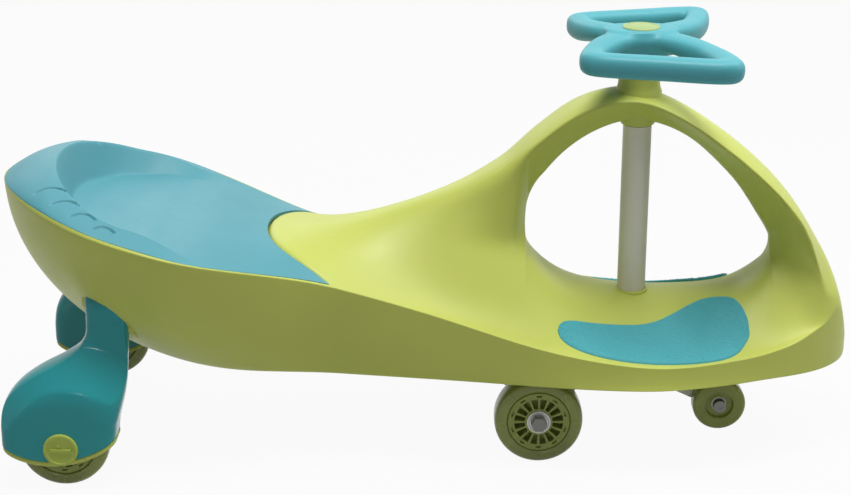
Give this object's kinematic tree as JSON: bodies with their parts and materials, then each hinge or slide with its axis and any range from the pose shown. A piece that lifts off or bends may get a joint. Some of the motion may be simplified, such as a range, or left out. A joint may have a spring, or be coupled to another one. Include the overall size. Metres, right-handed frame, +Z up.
{
  "type": "wiggle car",
  "caption": "Child's ride-on wiggle car with a moulded body, dished seat, foot pads, arched steering neck, butterfly steering wheel and trailing front wheels.",
  "frame": {"origin": "centre of the footprint's box, on the ground under the wheels", "axes": "+X points to the front of the car, +Y to the rider's left, +Z up"},
  "size_m": [0.792, 0.3044, 0.3933],
  "materials": {
    "body_green": "satin moulded plastic",
    "seat_teal": "satin moulded plastic",
    "pad_teal": "pebbled soft non-slip surface",
    "arm_teal": "glossy moulded plastic",
    "wheel_olive": "translucent moulded polyurethane",
    "sleeve_grey": "satin tube",
    "bracket_pale": "satin moulded plastic",
    "trim_lime": "glossy moulded plastic",
    "fastener_steel": "plated steel"
  },
  "bodies": {
    "body": {"body_shell": "body_green", "seat_panel": "seat_teal", "foot_pad_right": "pad_teal", "foot_pad_left": "pad_teal", "neck_collar": "body_green", "arch_bush": "body_green", "deck_bush": "body_green", "rear_arm_right": "arm_teal", "rear_arm_left": "arm_teal", "fender_band_right": "body_green", "fender_band_left": "body_green", "arm_screws": "fastener_steel", "rear_axle_right": "fastener_steel", "rear_axle_left": "fastener_steel", "rear_spacers": "fastener_steel", "axle_cap_right": "trim_lime", "axle_cap_left": "trim_lime"},
    "steering": {"steering_wheel": "seat_teal", "steering_cap": "trim_lime", "wheel_nut": "fastener_steel", "steering_shaft": "fastener_steel", "column_sleeve": "sleeve_grey", "thrust_washer": "fastener_steel", "front_bracket": "bracket_pale", "bracket_nut": "fastener_steel", "front_axle": "fastener_steel", "front_spacers": "fastener_steel", "front_nuts": "fastener_steel", "tip_axle": "fastener_steel", "tip_spacers": "fastener_steel", "tip_nuts": "fastener_steel"},
    "front_wheel_right": {"front_tyre_right": "wheel_olive", "front_hub_right": "wheel_olive", "front_bearings_right": "fastener_steel"},
    "front_wheel_left": {"front_tyre_left": "wheel_olive", "front_hub_left": "wheel_olive", "front_bearings_left": "fastener_steel"},
    "rear_wheel_right": {"rear_tyre_right": "wheel_olive", "rear_hub_right": "wheel_olive", "rear_bearings_right": "fastener_steel"},
    "rear_wheel_left": {"rear_tyre_left": "wheel_olive", "rear_hub_left": "wheel_olive", "rear_bearings_left": "fastener_steel"},
    "small_wheel_right": {"tip_wheel_right": "wheel_olive", "tip_bush_right": "bracket_pale"},
    "small_wheel_left": {"tip_wheel_left": "wheel_olive", "tip_bush_left": "bracket_pale"}
  },
  "joints": [
    {"name": "steer", "type": "hinge", "parent": "body", "child": "steering", "pos_m": [0.19, 0, 0.2], "axis": [0, 0, 1], "continuous": true},
    {"name": "front_wheel_right_spin", "type": "hinge", "parent": "steering", "child": "front_wheel_right", "pos_m": [0.099, -0.078, 0.041], "axis": [0, 1, 0], "continuous": true},
    {"name": "front_wheel_left_spin", "type": "hinge", "parent": "steering", "child": "front_wheel_left", "pos_m": [0.099, 0.078, 0.041], "axis": [0, 1, 0], "continuous": true},
    {"name": "rear_wheel_right_spin", "type": "hinge", "parent": "body", "child": "rear_wheel_right", "pos_m": [-0.331, -0.1255, 0.041], "axis": [0, 1, 0], "continuous": true},
    {"name": "rear_wheel_left_spin", "type": "hinge", "parent": "body", "child": "rear_wheel_left", "pos_m": [-0.331, 0.1255, 0.041], "axis": [0, 1, 0], "continuous": true},
    {"name": "small_wheel_right_spin", "type": "hinge", "parent": "steering", "child": "small_wheel_right", "pos_m": [0.273, -0.036, 0.037], "axis": [0, 1, 0], "continuous": true},
    {"name": "small_wheel_left_spin", "type": "hinge", "parent": "steering", "child": "small_wheel_left", "pos_m": [0.273, 0.036, 0.037], "axis": [0, 1, 0], "continuous": true}
  ]
}
